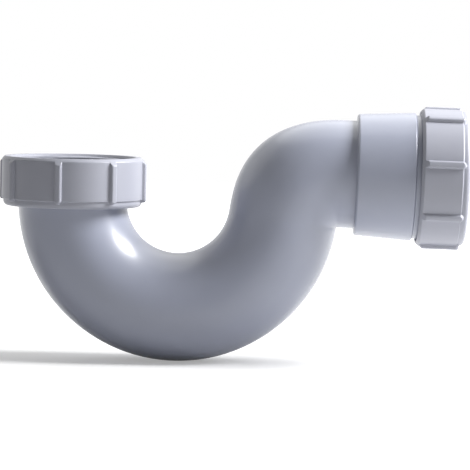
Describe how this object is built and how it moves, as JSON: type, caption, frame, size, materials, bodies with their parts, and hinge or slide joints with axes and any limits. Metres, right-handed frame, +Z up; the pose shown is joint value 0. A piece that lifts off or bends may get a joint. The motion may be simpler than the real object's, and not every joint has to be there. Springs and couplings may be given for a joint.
{
  "type": "u trap",
  "caption": "Tubular waste trap: a U-bend that rises through a tight elbow to a falling outlet socket, with a ribbed coupling nut at the inlet and a ribbed compression nut at the outlet.",
  "frame": {"origin": "centre of the upper end of the inlet nut's thread wall", "axes": "+Z up, along the inlet's axis and out of the inlet; +X towards the outlet; the trap's middle plane is XZ"},
  "size_m": [0.1855, 0.0586, 0.103],
  "materials": {
    "body_plastic": "gloss",
    "nut_plastic": "satin",
    "washer_rubber": "matt",
    "seal_rubber": "matt",
    "ring_plastic": "satin"
  },
  "bodies": {
    "trap": {"trap_body": "body_plastic", "inlet_washer": "washer_rubber", "outlet_seal": "seal_rubber"},
    "inlet_coupling": {"inlet_nut": "nut_plastic"},
    "slip_ring": {"outlet_slip_ring": "ring_plastic"},
    "outlet_coupling": {"outlet_nut": "nut_plastic"}
  },
  "joints": [
    {"name": "inlet_nut_turn", "type": "hinge", "parent": "trap", "child": "inlet_coupling", "pos_m": [0, 0, 0], "axis": [0, 0, 1], "continuous": true},
    {"name": "outlet_nut_travel", "type": "slide", "parent": "trap", "child": "slip_ring", "axis": [0.9998, 0, -0.0209], "range_m": [-0.0015, 0.009]},
    {"name": "outlet_nut_turn", "type": "hinge", "parent": "slip_ring", "child": "outlet_coupling", "pos_m": [0.15066, 0, -0.00468], "axis": [0.9998, 0, -0.0209], "range_deg": [-180, 1080]}
  ],
  "couplings": [
    {"joint": "outlet_nut_travel", "follows": "outlet_nut_turn", "m_per_rad": 0.00047746}
  ]
}
